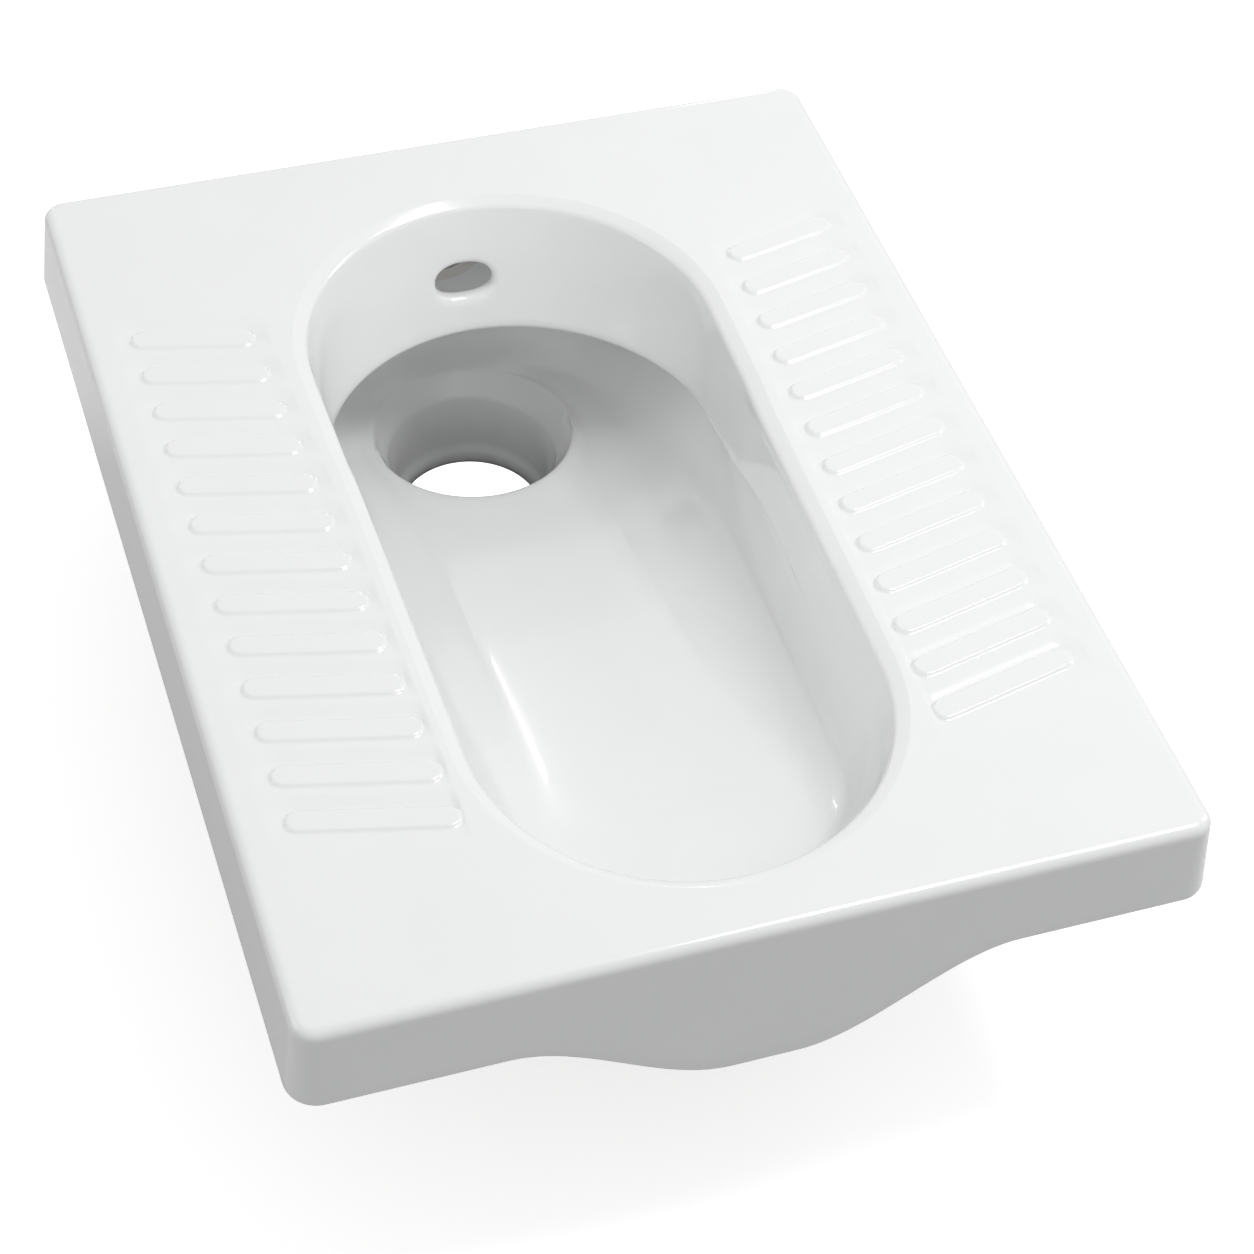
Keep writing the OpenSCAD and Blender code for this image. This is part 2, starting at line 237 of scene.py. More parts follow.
def china(name, body, shade, bare, rough, glaze, glazed_radius=None):
    """Fired china: slow waves and fine peel in the glaze, and bare where the piece faces down.

    Body and shade are the glaze's two tints, rough is its roughness, and glaze is how far it
    covers the bare colour. A glazed_radius keeps it within that distance of the frame's upright
    axis."""
    made = Finish(bpy.data.materials.new(name))
    spot = made.node("ShaderNodeTexCoord", {}, out=3)
    facing = made.node("ShaderNodeSeparateXYZ", {},
                       made.node("ShaderNodeNewGeometry", {}, out=1), out=2)
    glazed = facing.between(*BARE_FACING) * glaze
    if glazed_radius:
        plan = made.node("ShaderNodeVectorMath", {"operation": "MULTIPLY"}, spot, (1, 1, 0))
        reach = made.node("ShaderNodeVectorMath", {"operation": "LENGTH"}, plan, out=1)
        glazed = glazed * (1 - reach.between(glazed_radius, glazed_radius + 0.001))
    waves = made.noise(spot, WAVES, 1.0)
    peel = made.noise(spot, PEEL, 2.0)
    pool = made.noise(spot, POOLS, 3.0)
    tint = made.blend(pool.between(0.3, 0.7), body, shade)
    colour = made.blend(glazed, bare, tint)
    roughness = glazed * (rough - BARE_ROUGH + (pool - 0.5) * 0.05) + BARE_ROUGH
    height = waves * 0.9 + peel * 0.012 + pool * 0.05
    normal = made.node("ShaderNodeBump", {}, Strength=BUMP_STRENGTH, Distance=BUMP_HEIGHT,
                       Height=height)
    shader = made.node("ShaderNodeBsdfPrincipled", {}, Base_Color=colour, Roughness=roughness,
                       IOR=CHINA_IOR, Coat_Weight=glazed * COAT, Coat_Roughness=COAT_ROUGH,
                       Coat_IOR=CHINA_IOR, Normal=normal)
    made.node("ShaderNodeOutputMaterial", {}, Surface=shader)
    return made.owner


WHITE, WHITE_SHADE = (0.862, 0.866, 0.868, 1), (0.848, 0.853, 0.856, 1)
FIRED, FIRED_SHADE = (0.79, 0.78, 0.75, 1), (0.75, 0.74, 0.71, 1)
FIRED_DARK = (0.74, 0.72, 0.68, 1)

GLAZE = china("white_glaze", WHITE, WHITE_SHADE, (0.78, 0.76, 0.72, 1), 0.16, 1.0)
HORN = china("china_glazed_within", WHITE, WHITE_SHADE, FIRED_DARK, 0.16, 1.0,
             glazed_radius=0.0495)
BARE = china("bare_china", FIRED, FIRED_SHADE, FIRED_DARK, 0.42, 0.7)


# ------------------------------------------------------------------ the opening and the bowl

REAR_STEPS, SIDE_STEPS, FRONT_STEPS = 96, 44, 64
STATIONS = (
    [("rear", math.pi * i / REAR_STEPS, 0) for i in range(REAR_STEPS + 1)]
    + [("side", i / SIDE_STEPS, -1) for i in range(1, SIDE_STEPS)]
    + [("front", math.pi * (1 + i / FRONT_STEPS), 0) for i in range(FRONT_STEPS + 1)]
    + [("side", 1 - i / SIDE_STEPS, 1) for i in range(1, SIDE_STEPS)]
)

LEAN_FROM = 40              # length of a slot's sides at which they are full tangents
SHARE_TO = 90               # length of a slot's sides up to which they share the arcs


def slot_point(station, front, front_r, rear, rear_r, swell=0.0, spread=0.0):
    """Plan point of a slot ring at a station, from its tips and the radii of its ends.

    Swell fills out the sides towards the rear. Spread turns the straight sides into tangents, and
    lets them take some of the arcs where the ring is nearly round, so that no station falls on
    another."""
    part, value, side = station
    ry, fy = rear - rear_r, front + front_r
    apart = max(ry - fy, 1.0)
    lean = spread * smooth(apart / LEAN_FROM) * math.asin(clamp((rear_r - front_r) / apart))
    share = 0.5 * spread * (1 - smooth(apart / SHARE_TO))
    if part == "rear":
        angle = mix(share - lean, math.pi - share + lean, value / math.pi)
        return rear_r * math.cos(angle), ry + rear_r * math.sin(angle)
    if part == "front":
        angle = mix(math.pi + share + lean, 2 * math.pi - share - lean, value / math.pi - 1)
        return front_r * math.cos(angle), fy + front_r * math.sin(angle)
    straight = math.hypot(ry - fy, 0.01)
    gone = value * (straight + share * (rear_r + front_r))
    fuller = swell * (1 - spread) * (soft(1 - value * 1.62) - (1 - value))
    if gone < share * rear_r:
        angle = share - lean - gone / rear_r
        return side * rear_r * math.cos(angle), ry + rear_r * math.sin(angle)
    if gone > share * rear_r + straight:
        angle = -lean - (gone - share * rear_r - straight) / front_r
        return side * front_r * math.cos(angle), fy + front_r * math.sin(angle)
    t = (gone - share * rear_r) / straight
    out = mix(rear_r, front_r, t) * math.cos(lean)
    along = mix(ry - rear_r * math.sin(lean), fy - front_r * math.sin(lean), t)
    return side * (out + fuller), along


def opening_point(station, grow):
    """Plan point of the deck's opening, grown by a distance."""
    return slot_point(station, OPEN_FRONT - grow, FRONT_R + grow, OPEN_REAR + grow, REAR_R + grow)


def ring_point(station, s):
    """Point of the bowl's wall at a station of a section."""
    ry, fy = s[2] - s[3], s[0] + s[1]
    line_r = s[1] + (REAR_R - FRONT_R) * (ry - fy) / (REAR_Y - FRONT_Y)
    spread = smooth((s[4] - DECK_T) / (FLOOR_FRONT - DECK_T))
    x, y = slot_point(station, s[0], s[1], s[2], s[3], max(0, s[3] - line_r), spread)
    return Vector((x, y, -mix(s[4], s[5], (y - s[0]) / (s[2] - s[0]))))


SHELL_REAR = OPEN_REAR + COLLAR_T + CHANNEL_W
SHELL_R = REAR_R + COLLAR_T
MOUTH_FRONT = OUTLET_Y - MOUTH_R
MOUTH_REAR = OUTLET_Y + MOUTH_R
TOE = OPEN_FRONT + 40                       # where the front wall meets the floor
FLOOR_A, FLOOR_B = TOE + 42, TOE + 122      # places down the floor
FLOOR_C, FLOOR_D = mix(FLOOR_B, MOUTH_FRONT, 0.5), MOUTH_FRONT - 30
FLOOR_FALL = (FLOOR_REAR - FLOOR_FRONT) / (MOUTH_FRONT - TOE)


def floor_depth(y):
    return FLOOR_FRONT + FLOOR_FALL * (y - TOE)


# Front tip, front radius, rear tip, rear radius, depth at the front, depth at the rear, and the
# slope of the wall at the front and at the rear in degrees.
SECTIONS = [
    (OPEN_FRONT, FRONT_R, SHELL_REAR, SHELL_R, DECK_T, DECK_T, 0, 0),
    (OPEN_FRONT + 3, FRONT_R - 3.5, SHELL_REAR, SHELL_R - 1,
     FLOOR_FRONT - 34, FLOOR_REAR - 92, 4, 0),
    (OPEN_FRONT + 9, FRONT_R - 9, SHELL_REAR - 1, SHELL_R - 4,
     FLOOR_FRONT - 19, FLOOR_REAR - 59, 18, 3),
    (OPEN_FRONT + 21, FRONT_R - 16, SHELL_REAR - 3, SHELL_R - 10,
     FLOOR_FRONT - 8, FLOOR_REAR - 36, 40, 8),
    (TOE, FRONT_R - 25, SHELL_REAR - 6, SHELL_R - 18, FLOOR_FRONT, FLOOR_REAR - 22, 62, 14),
    (FLOOR_A, FRONT_R - 37, SHELL_REAR - 9, SHELL_R - 28,
     floor_depth(FLOOR_A), FLOOR_REAR - 9, 74, 18),
    (FLOOR_B, FRONT_R - 48, SHELL_REAR - 9.5, SHELL_R - 38,
     floor_depth(FLOOR_B), FLOOR_REAR + 1, 78, 18),
    (FLOOR_C, MOUTH_R - 5, MOUTH_REAR + 0.7, MOUTH_R + 12,
     floor_depth(FLOOR_C), FLOOR_REAR + 5, 78, 14),
    (FLOOR_D, MOUTH_R - 3, MOUTH_REAR + 0.4, MOUTH_R + 5,
     floor_depth(FLOOR_D), FLOOR_REAR + 7.5, 76, 16),
    (MOUTH_FRONT, MOUTH_R, MOUTH_REAR, MOUTH_R, FLOOR_REAR, FLOOR_REAR + 9, 45, 20),
    (MOUTH_FRONT + 4, MOUTH_R - 4, MOUTH_REAR - 4, MOUTH_R - 4,
     FLOOR_REAR + 9, FLOOR_REAR + 16, 20, 20),
    (OUTLET_Y - THROAT_R - 0.8, THROAT_R + 0.8, OUTLET_Y + THROAT_R + 0.8, THROAT_R + 0.8,
     THROAT_DEPTH - 5, THROAT_DEPTH - 4, 10, 10),
    (OUTLET_Y - THROAT_R, THROAT_R, OUTLET_Y + THROAT_R, THROAT_R,
     THROAT_DEPTH, THROAT_DEPTH, 10, 10),
]
MOUTH_ROW = 9               # the section at the drain's mouth


def outside(s):
    """The same section on the outside of the wall."""
    lean = [math.radians(a) for a in s[6:]]
    out = [BOWL_T * math.cos(a) for a in lean]
    down = [BOWL_T * math.sin(a) for a in lean]
    return (s[0] - out[0], s[1] + out[0], s[2] + out[1], s[3] + out[1],
            s[4] + down[0], s[5] + down[1])


NECK_R = THROAT_R + BOWL_T
OUTER = [outside(s) for s in SECTIONS[:MOUTH_ROW - 2]] + [
    (FLOOR_C - 2, MOUTH_R - 2, MOUTH_REAR + 10.5, MOUTH_R + 22.5,
     floor_depth(FLOOR_C) + 11, FLOOR_REAR + 9.5),
    (FLOOR_D - 3, MOUTH_R + 9, MOUTH_REAR + 10, MOUTH_R + 13,
     floor_depth(FLOOR_D) + 11, FLOOR_REAR + 14.5),
    (MOUTH_FRONT - 5, MOUTH_R + 6, MOUTH_REAR + 7, MOUTH_R + 6,
     FLOOR_REAR + 15, FLOOR_REAR + 20.5),
    (OUTLET_Y - NECK_R, NECK_R, OUTLET_Y + NECK_R, NECK_R, THROAT_DEPTH, THROAT_DEPTH),
]


def ease(before, after):
    """Slope at a section, which never overshoots it."""
    return 2 * before * after / (before + after) if before * after > 0 else 0.0


def section(rows, s):
    """Blend along a list of sections that keeps to the range of its neighbours."""
    last = len(rows) - 1
    k = min(int(s), last - 1)
    t = s - k
    a, b, c, d = (rows[min(last, max(0, j))] for j in (k - 1, k, k + 1, k + 2))
    out = []
    for p, q, r, w in zip(a, b, c, d):
        start = ease(q - p, r - q) if k else r - q
        end = ease(r - q, w - r) if k < last - 1 else r - q
        out.append(mix(q, r, smooth(t)) + t * (1 - t) * (start * (1 - t) - end * t))
    return out


def wall_point(station, s):
    """Point of the wall's inside at a station, s down the list of sections."""
    return ring_point(station, section(SECTIONS, s))


HALVINGS = 24


def wall_level(station, depth):
    """How far down the sections a station's wall comes to a depth."""
    low, high = 0.0, float(MOUTH_ROW)
    for _ in range(HALVINGS):
        mid = (low + high) / 2
        if -wall_point(station, mid).z < depth:
            low = mid
        else:
            high = mid
    return low


# ---- the flush collar: a fold of the wall round the rear, which fades out along the sides
LIP_R = REAR_R - 5
LIP_Y = OPEN_REAR - LIP_FORWARD - LIP_R
LIP_INSET = 5.2             # how far the lip is in from the opening's sides
LIP_END, LIP_END_Y = 44, 8  # depth of the lip where it ends, and where that is
END_T = 4                   # thickness of the collar there
FADE_FROM, FADE_TO = 60, -75
ROOF_R = 3                  # rise of the channel's roof between the collar and the wall


def lip_depth(y):
    """Depth of the collar's lower edge at a place along the pan."""
    run = (y - LIP_END_Y) / (LIP_Y + LIP_R - LIP_END_Y)
    run = (run + math.hypot(run, 0.1)) / 2
    return LIP_END + (LIP_DEPTH - LIP_END) * math.sin(math.pi / 2 * min(1, run))


def lip_plan(station, out):
    """Plan point of the collar's lower edge, out from its front face."""
    part, value, side = station
    if part == "rear":
        return (LIP_R + out) * math.cos(value), LIP_Y + (LIP_R + out) * math.sin(value)
    x, y = opening_point(station, 0)
    back = (REAR_Y - LIP_Y) * (1 - smooth(value * 2.2))
    return side * (abs(x) - LIP_INSET + out), y - back


# Rows of the bowl's grid: down the collar's face, round its edge, along the channel's roof, down
# the wall to the outlet, and back up the outside.
FRONT_ROWS, ROUND_ROWS, ROOF_ROWS, WALL_ROWS, OUTER_ROWS = 16, 10, 6, 76, 30


def collar_face(station, w, out, thick, low):
    """Point of the collar's face, from the deck (w = 0) to where its edge rounds off (w = 1)."""
    top = opening_point(station, out)
    foot = lip_plan(station, out)
    depth = mix(DECK_T, low - thick / 2, w)
    return Vector((mix(top[0], foot[0], w), mix(top[1], foot[1], w), -depth))


class Fold:
    """The rows of one station, from the deck down the collar, up its back and down the bowl."""

    def __init__(self, station):
        self.station = station
        part, value, side = station
        here = opening_point(station, 0)[1]
        foot = lip_plan(station, 0)[1]
        self.plain = 1.0        # 0 where the fold is full, 1 where the wall is plain
        if part != "front":
            self.plain -= smooth((here - FADE_TO) / (FADE_FROM - FADE_TO))
        self.thick = mix(END_T, COLLAR_T, smooth((here - LIP_END_Y) / 110))
        self.low = lip_depth(foot)
        gap = CHANNEL_W * math.sin(value) if part == "rear" else 0.0
        self.open = smooth(gap / 14)        # 1 where the channel behind the collar is open
        self.roof = mix(self.low - self.thick / 2 - 0.5, DECK_T + ROOF_R + 0.5, self.open)
        below_lip = wall_level(station, self.low + 5)
        self.start = mix(wall_level(station, self.roof + ROOF_R), below_lip, self.plain)
        edge_level = wall_level(station, self.low - self.thick / 2)
        folded = self.folded_rows()
        rows = []
        for k, point in enumerate(folded):
            if k <= FRONT_ROWS:
                level = wall_level(station, -point.z)
            else:
                done = (k - FRONT_ROWS) / (len(folded) - FRONT_ROWS)
                level = mix(edge_level, self.start, done)
            rows.append(point.lerp(wall_point(station, level), self.plain))
        for j in range(WALL_ROWS + 1):
            level = mix(self.start, len(SECTIONS) - 1, j / WALL_ROWS)
            rows.append(wall_point(station, level))
        self.rows = rows

    def folded_rows(self):
        """Down the collar's face, round its edge, up its back and over to the wall."""
        st, thick, low = self.station, self.thick, self.low
        rows = [collar_face(st, k / FRONT_ROWS, 0, thick, low) for k in range(FRONT_ROWS + 1)]
        for k in range(1, ROUND_ROWS + 1):
            a = math.pi * k / ROUND_ROWS
            out = thick / 2 * (1 - math.cos(a))
            rows.append(Vector((*lip_plan(st, out), thick / 2 * (1 - math.sin(a)) - low)))
        edge = rows[-1]
        end = wall_point(st, self.start)
        back_top = (self.roof + ROOF_R - DECK_T) / (low - thick / 2 - DECK_T)
        behind = [collar_face(st, mix(1, back_top, k / FRONT_ROWS), thick, thick, low)
                  for k in range(1, FRONT_ROWS + 1)]
        top = behind[-1]
        for k in range(1, ROOF_ROWS + 1):
            a = math.pi * k / (ROOF_ROWS + 1)
            point = top.lerp(end, (1 - math.cos(a)) / 2)
            point.z += ROOF_R * math.sin(a) ** 0.5
            behind.append(point)
        for k, point in enumerate(behind):
            straight = edge.lerp(end, (k + 1) / (len(behind) + 1))
            rows.append(straight.lerp(point, self.open))
        return rows


FOLDS = [Fold(station) for station in STATIONS]

# ---- the flush port: the grid of the collar's face and of its back is drawn on to an oval
PORT_HALF = (5, 3)          # stations and rows from the port's middle to the edge of its hole
PORT_PULL = 2.4             # how far the pull on the grid reaches, in hole sizes
PORT_SOFT = 3.8             # radius of the port's edges
PORT_POWER = 2.3            # 2 is an ellipse, more is squarer
EDGE_STEPS = 5


def oval(angle, grow):
    """Point of the port's outline, across and down, grown by a distance."""
    def power(v):
        return math.copysign(abs(v) ** (2 / PORT_POWER), v)
    across = (PORT_W / 2 + grow) * power(math.cos(angle))
    return across, (PORT_H / 2 + grow) * power(math.sin(angle))


def collar_at(x, depth, out):
    """Point of the collar's face (out = 0) or back (out = its thickness), across and down."""
    w = (depth - DECK_T) / (LIP_DEPTH - COLLAR_T / 2 - DECK_T)
    a = math.acos(x / mix(REAR_R + out, LIP_R + out, w))
    y = mix(REAR_Y + (REAR_R + out) * math.sin(a), LIP_Y + (LIP_R + out) * math.sin(a), w)
    return Vector((x, y, -depth))


def pull_to_port(rings, middle_row, out, downwards):
    """Moves the grid round the port on to ovals; returns the hole's edge with its angles."""
    middle = REAR_STEPS // 2
    reach = [int(h * PORT_PULL) for h in PORT_HALF]
    edge = {}
    for di in range(-reach[0], reach[0] + 1):
        for dj in range(-reach[1], reach[1] + 1):
            size = max(abs(di) / PORT_HALF[0], abs(dj) / PORT_HALF[1])
            if size < 0.99:
                continue
            v = rings[middle_row + dj][middle + di]
            angle = math.atan2(downwards * dj / PORT_HALF[1], -di / PORT_HALF[0])
            x, down = oval(angle, PORT_SOFT)
            grown = 1 + (size - 1) * 0.6
            hold = smooth((size - 1) / (PORT_PULL - 1))
            v.co = collar_at(mix(x * grown, v.co.x, hold),
                             mix(PORT_DEPTH + down * grown, -v.co.z, hold), out)
            if size < 1.01:
                edge[angle] = v
    return [(edge[a], a) for a in sorted(edge)]


def block(rings, middle_row):
    """The grid's points within the port's hole and on its edge."""
    middle = REAR_STEPS // 2
    return {rings[middle_row + dj][middle + di]
            for di in range(-PORT_HALF[0], PORT_HALF[0] + 1)
            for dj in range(-PORT_HALF[1], PORT_HALF[1] + 1)}


def cut_port(bm, rings):
    """Opens the collar's face and back, and joins the two holes with rounded edges."""
    face_row, back_row = 9, FRONT_ROWS + ROUND_ROWS + 8
    face = pull_to_port(rings, face_row, 0, 1)
    back = pull_to_port(rings, back_row, COLLAR_T, -1)
    for row in (face_row, back_row):
        inside = block(rings, row)
        holes = [f for f in bm.faces if all(v in inside for v in f.verts)]
        bmesh.ops.delete(bm, geom=holes, context="FACES")
    angles = [a for _, a in face]
    ring = [v for v, _ in face]
    steps = []
    for k in range(1, EDGE_STEPS + 1):
        turn = math.pi / 2 * k / EDGE_STEPS
        steps.append((PORT_SOFT * (1 - math.sin(turn)), PORT_SOFT * (1 - math.cos(turn)), 0))
    steps += [(grow, -into, COLLAR_T) for grow, into, _ in reversed(steps)]

    def place(i, grow, into, out):
        x, down = oval(angles[i], grow)
        return collar_at(x, PORT_DEPTH + down, out) + Vector((0, into, 0))

    for grow, into, out in steps:
        ring = next_ring(bm, ring, lambda i: place(i, grow, into, out))
    last = next_ring(bm, ring, lambda i: back[i][0].co.copy())
    weld_rings(bm, [v for v, _ in back], last)


def build_bowl():
    bm = bmesh.new()
    count = len(STATIONS)
    rings = [first_ring(bm, count, lambda i: FOLDS[i].rows[0])]
    for k in range(1, len(FOLDS[0].rows)):
        rings.append(next_ring(bm, rings[-1], lambda i: FOLDS[i].rows[k]))
    for k in range(OUTER_ROWS + 1):
        s = (len(OUTER) - 1) * (1 - k / OUTER_ROWS)
        outer = section(OUTER, s)
        rings.append(next_ring(bm, rings[-1], lambda i: ring_point(STATIONS[i], outer)))
    last = next_ring(bm, rings[-1], lambda i: FOLDS[i].rows[0])
    cut_port(bm, rings)
    weld_rings(bm, rings[0], last)
    return bm


finished("bowl_with_flush_collar", build_bowl(), GLAZE, "glaze", "bowl", "flush_collar")

# ------------------------------------------------------------------ deck with its treads

BARS, BAR_PITCH, BAR_ANGLE = 13, 28.13, math.radians(13.18)
BAR_HALF = 6.0                          # half a bar's width, and the radius of its ends
BAR_OUT = 189.0                         # distance of the outer ends' centres from the middle
FIRST_BAR = 165.7                       # where the rear-most bar's outer end is
BAR_RISE, BAR_FLANK = 0.55, 2.2         # height above the deck, width of the flank
GROOVE, GROOVE_RUN = 2.5, 15.0          # depth beside a bar, distance to the deck's level
GROOVE_FRONT = 0.3                      # share of that depth on a bar's front side
TIP_REAR, TIP_FRONT = 133.0, 117.0      # inner ends of the rear-most and front-most bars


def bar_tip(b):
    """Distance of an inner end's centre from the middle, b down from the rear-most bar."""
    return mix(TIP_REAR, TIP_FRONT, b / ((BARS - 1) * BAR_PITCH)) + BAR_HALF


def tread_height(x, y):
    """Height of the deck at a point beside the opening."""
    b = FIRST_BAR - y - math.tan(BAR_ANGLE) * (BAR_OUT - x)
    near = min(BARS - 1, max(0, round(b / BAR_PITCH)))
    bar, groove = 0.0, 0.0
    for k in (near - 1, near, near + 1):
        if not 0 <= k < BARS:
            continue
        run = (BAR_OUT - bar_tip(k * BAR_PITCH)) / math.cos(BAR_ANGLE)
        dx, dy = BAR_OUT - x, FIRST_BAR - k * BAR_PITCH - y
        along = dx * math.cos(BAR_ANGLE) + dy * math.sin(BAR_ANGLE)
        across = dy * math.cos(BAR_ANGLE) - dx * math.sin(BAR_ANGLE)
        over = max(0, -along, along - run)
        away = math.hypot(over, across)
        bar = max(bar, 1 - smooth((away - BAR_HALF + 0.6) / BAR_FLANK))
        rearward = 0.5 - 0.5 * across / max(away, 1e-6)
        fall = clamp(1 - (away - BAR_HALF) / GROOVE_RUN) ** 2
        groove = max(groove, fall * mix(GROOVE_FRONT, 1.0, rearward))
    return mix(-GROOVE * groove, BAR_RISE, bar)


def rim_edge(y):
    """Distance from the middle to the outside of the rim, beside the treads."""
    return mix(FRONT_R, REAR_R, clamp((y - FRONT_Y) / (REAR_Y - FRONT_Y))) + RIM_R + 2


def row_places():
    """Distances down the treads, close together where the bars' flanks are."""
    half = [1.6, 2.9, 3.7, 4.3, 4.9, 5.5, 6.1, 6.7, 7.5, 8.8, 10.2, 11.6, 12.9]
    border = [16.5, 19.0, 24.0]
    places = [-d for d in reversed(border)]
    for k in range(BARS):
        centre = k * BAR_PITCH
        places += [centre - d for d in reversed(half)] + [centre] + [centre + d for d in half]
    end = (BARS - 1) * BAR_PITCH
    return places + [end + d for d in border]


# Distances along a bar from the centre of its rounded end, close together at its flank.
TIP_PLACES = [-17, -14.5, -13, -11.5, -10, -8.6, -7.4, -6.4, -5.5, -4.6, -3.6, -2.4, -1.0, 1.0,
              4.0]
ROWS = row_places()
COLUMNS = len(TIP_PLACES) * 2 + 4


def tread_field(bm, side):
    """One side's treads as a displaced grid with a level border; returns its border loop."""
    rows = len(ROWS)
    grid = bmesh.ops.create_grid(bm, x_segments=COLUMNS - 1, y_segments=rows - 1, size=1)["verts"]
    at = {}
    for v in grid:
        i = round((v.co.x + 1) / 2 * (COLUMNS - 1))
        j = round((v.co.y + 1) / 2 * (rows - 1))
        at[i, j] = v
    ends = len(TIP_PLACES)
    for (i, j), v in at.items():
        b = ROWS[j]
        tip = bar_tip(min((BARS - 1) * BAR_PITCH, max(0, b)))
        y_mid = FIRST_BAR - b - math.tan(BAR_ANGLE) * (BAR_OUT - tip)
        least = rim_edge(y_mid) + 0.5
        inner = [max(tip + d, least + 0.35 * n) for n, d in enumerate(TIP_PLACES)]
        outer = [BAR_OUT - d for d in reversed(TIP_PLACES)]
        if i < ends:
            x = inner[i]
        elif i >= COLUMNS - ends:
            x = outer[i - (COLUMNS - ends)]
        else:
            x = mix(inner[-1], outer[0], (i - ends + 1) / (COLUMNS - 2 * ends + 1))
        y = FIRST_BAR - b - math.tan(BAR_ANGLE) * (BAR_OUT - x)
        border = i < 2 or j < 2 or i > COLUMNS - 3 or j > rows - 3
        inland = smooth((x - inner[1]) / 3.5)
        v.co = (side * x, y, 0 if border else tread_height(x, y) * inland)
    return ([at[i, 0] for i in range(COLUMNS)] + [at[COLUMNS - 1, j] for j in range(1, rows)]
            + [at[i, rows - 1] for i in range(COLUMNS - 2, -1, -1)]
            + [at[0, j] for j in range(rows - 2, 0, -1)])


def rim_rows(i):
    """From the seam with the bowl up the wall and over the rounded rim to level ground."""
    below = FOLDS[i].rows
    fall = below[0].z - below[1].z
    base = Vector(opening_point(STATIONS[i], 0))
    away = Vector(opening_point(STATIONS[i], 1)) - base
    lean = math.atan2(max(0, (base - below[1].xy).dot(away)), fall)
    steps = [(-1, 0), (0, 0)]           # distances in from the level ground, and depths

    def go(across, depth):
        steps.append((steps[-1][0] + across, steps[-1][1] + depth))

    def curve(radius, start, end, count):
        for k in range(count):
            a, b = mix(start, end, k / count), mix(start, end, (k + 1) / count)
            go(radius * (math.sin(b) - math.sin(a)), radius * (math.cos(a) - math.cos(b)))

    curve(BAND_R, 0, BAND_SLOPE, BAND_STEPS)
    go(BAND_W * math.cos(BAND_SLOPE), BAND_W * math.sin(BAND_SLOPE))
    curve(RIM_R - 4, BAND_SLOPE, math.pi / 2 - lean, RIM_STEPS)
    across, depth = steps[-1]
    width = across + (DECK_T - depth) * math.tan(lean)
    steps += [(width, DECK_T), (width - 3, DECK_T)]
    return [Vector((*opening_point(STATIONS[i], width - across), -depth))
            for across, depth in reversed(steps)]


CORNER_STEPS = 10


def rounded_deck():
    """Stations round the deck's outline: a base point on the corners' frame and a way outwards."""
    reach = (HALF_W - CORNER_R, HALF_L - CORNER_R)
    out = []
    for quarter in range(4):
        sx = 1 if quarter in (0, 3) else -1
        sy = 1 if quarter in (0, 1) else -1
        corner = Vector((sx * reach[0], sy * reach[1]))
        for k in range(CORNER_STEPS + 1):
            a = math.pi / 2 * (quarter + k / CORNER_STEPS)
            out.append((corner.copy(), Vector((math.cos(a), math.sin(a)))))
        away = out[-1][1]
        step = Vector((-round(away.y), round(away.x)))
        for t in side_places(quarter, 2 * reach[quarter % 2]):
            out.append((corner + step * t, away.copy()))
    return out


def side_places(quarter, length):
    """Distances along a side of the deck, close together at the notch and at the belly."""
    half = length / 2
    if quarter == 0:
        ends = [20, 60, 110, 150]
        arc = [NOTCH_R * math.sin(math.radians(a)) for a in range(0, 86, 5)] + [NOTCH_R * 0.9982]
        return (ends + [half - NOTCH_R - 6] + [half - x for x in reversed(arc)]
                + [half + x for x in arc[1:]] + [half + NOTCH_R + 6]
                + [length - t for t in reversed(ends)])
    if quarter == 2:
        ends = [25, 50, 70]
        bend = [BELLY_FLAT / 2 + BELLY_RUN * (1 - k / 28) for k in range(29)]
        return (ends + [half - x for x in bend] + [half - 5, half + 5]
                + [half + x for x in reversed(bend)] + [length - t for t in reversed(ends)])
    return [length * k / 24 for k in range(1, 24)]


EDGE = rounded_deck()


def edge_reach(depth):
    """How far out of the corners' frame the apron's outside is at a depth."""
    return CORNER_R + APRON_LEAN * (depth - EDGE_R) / (APRON_DROP - EDGE_R)


def edge_point(i, reach, depth):
    base, away = EDGE[i]
    return Vector((*(base + away * reach), -depth))


def build_deck():
    bm = bmesh.new()
    rims = [rim_rows(i) for i in range(len(STATIONS))]
    rim = [first_ring(bm, len(STATIONS), lambda i: rims[i][0])]
    for k in range(1, len(rims[0])):
        rim.append(next_ring(bm, rim[-1], lambda i: rims[i][k]))
    steps = [(edge_reach(DECK_T) - 3, DECK_T), (edge_reach(DECK_T), DECK_T), (edge_reach(9), 9)]
    for k in range(9):
        a = math.pi / 2 * k / 8
        steps.append((CORNER_R - EDGE_R * (1 - math.cos(a)), EDGE_R * (1 - math.sin(a))))
    steps += [(CORNER_R - EDGE_R - 1, 0), (CORNER_R - EDGE_R - 3, 0)]
    edge = [first_ring(bm, len(EDGE), lambda i: edge_point(i, *steps[0]))]
    for reach, depth in steps[1:]:
        edge.append(next_ring(bm, edge[-1], lambda i: edge_point(i, reach, depth)))
    fields = [tread_field(bm, side) for side in (-1, 1)]
    fill_between(bm, [edge[-1], rim[-1], *fields])
    fill_between(bm, [edge[0], rim[0]])
    return bm


finished("deck_with_treads", build_deck(), GLAZE, "glaze", "deck", "tread_left", "tread_right")

# ------------------------------------------------------------------ apron

